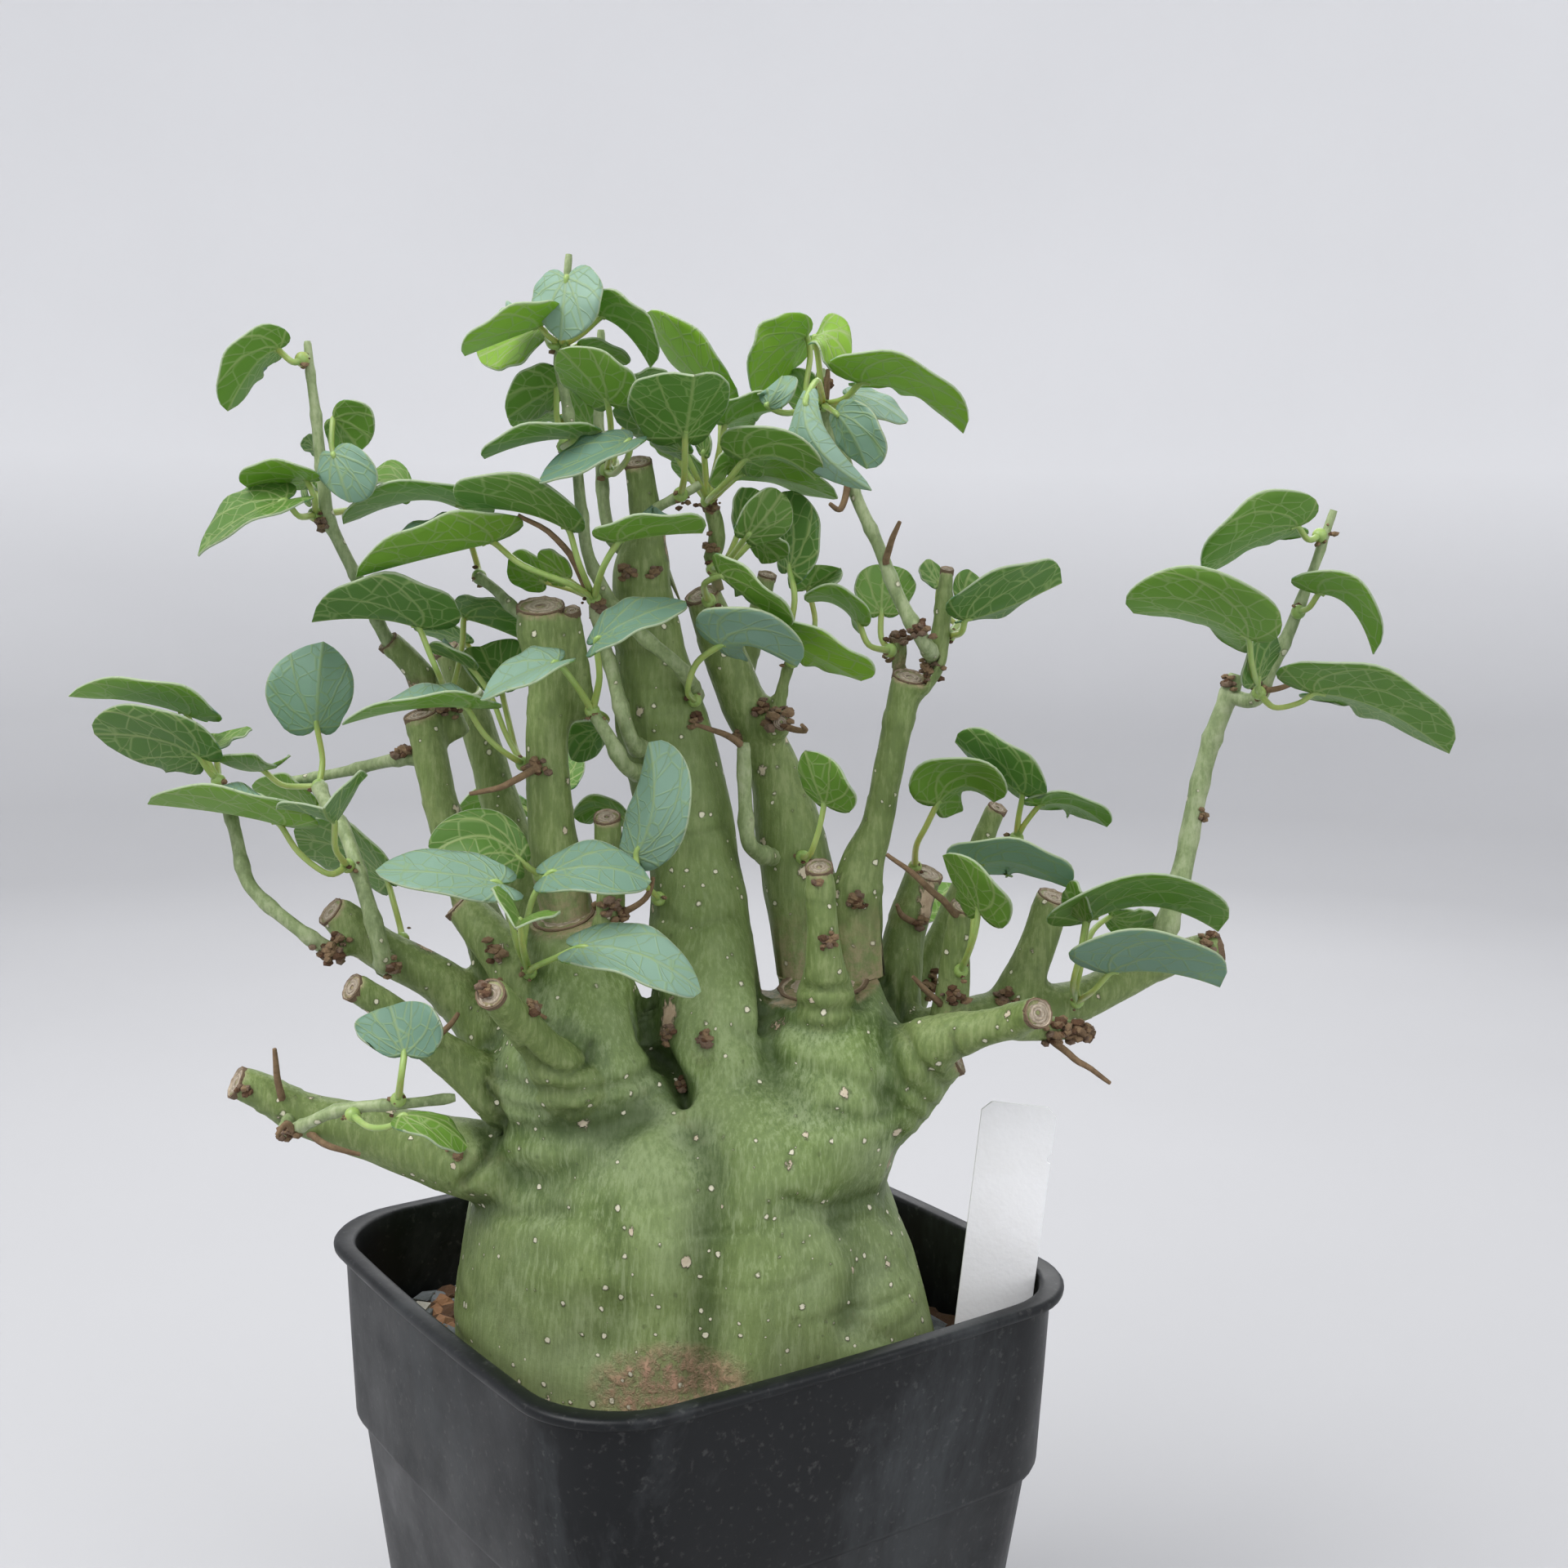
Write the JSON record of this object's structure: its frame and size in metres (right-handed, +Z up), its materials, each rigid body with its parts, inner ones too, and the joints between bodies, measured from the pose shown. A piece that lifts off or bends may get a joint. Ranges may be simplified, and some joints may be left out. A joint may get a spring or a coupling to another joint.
{
  "type": "potted adenia",
  "caption": "Pruned caudex plant with a swollen green trunk, upright cut arms and small trifoliate leaves, in a square black nursery pot with a bare label.",
  "frame": {"origin": "centre of the pot's flat base, on the surface that the pot stands on", "axes": "+Z up along the pot's axis; +X and +Y square to the pot's sides"},
  "size_m": [0.2912, 0.241, 0.4041],
  "materials": {
    "black_plastic": "satin",
    "gritty_mix": "rough gravel and bark",
    "white_plastic": "satin",
    "green_bark": "smooth living bark",
    "young_bark": "smooth young bark",
    "leaf": "satin living leaf"
  },
  "bodies": {
    "root": {"caudex": "green_bark", "leaf_centre_back": "leaf", "leaf_centre_oval": "leaf", "leaf_crown_big": "leaf", "leaf_dark_stub": "leaf", "leaf_front_dark": "leaf", "leaf_left_back": "leaf", "leaf_left_high": "leaf", "leaf_low_left": "leaf", "leaf_right_inner": "leaf", "leaf_right_pale": "leaf", "leaf_upper_left": "leaf", "leaf_young_right": "leaf", "leaf_young_upper": "leaf", "leaves_back_left": "leaf", "leaves_back_right": "leaf", "leaves_crown": "leaf", "leaves_crown_middle": "leaf", "leaves_crown_right": "leaf", "leaves_crown_second": "leaf", "leaves_far_left": "leaf", "leaves_far_right": "leaf", "leaves_front": "leaf", "leaves_left_fork": "leaf", "leaves_left_inner": "leaf", "leaves_left_middle": "leaf", "leaves_left_top": "leaf", "leaves_low_left_trailing": "leaf", "leaves_middle": "leaf", "leaves_middle_high": "leaf", "leaves_right_centre": "leaf", "leaves_right_grey": "leaf", "leaves_right_pale": "leaf", "leaves_right_round": "leaf", "leaves_right_stub": "leaf", "leaves_right_tip": "leaf", "leaves_right_twig": "leaf", "leaves_upper_left_low": "leaf", "leaves_upper_left_middle": "leaf", "leaves_upper_right": "leaf", "leaves_young_base": "leaf", "plant_label": "white_plastic", "pot": "black_plastic", "potting_mix": "gritty_mix", "shoot_crown": "young_bark", "shoot_crown_second": "young_bark", "shoot_crown_side": "young_bark", "shoot_far_left": "young_bark", "shoot_front_green": "young_bark", "shoot_left": "young_bark", "shoot_left_side": "young_bark", "shoot_left_twig": "young_bark", "shoot_low_left": "young_bark", "shoot_middle": "young_bark", "shoot_middle_short": "young_bark", "shoot_right_long": "young_bark", "shoot_right_twig": "young_bark", "shoot_right_young": "young_bark", "shoot_upper_left": "young_bark", "shoot_upper_right": "young_bark"}
  },
  "joints": []
}
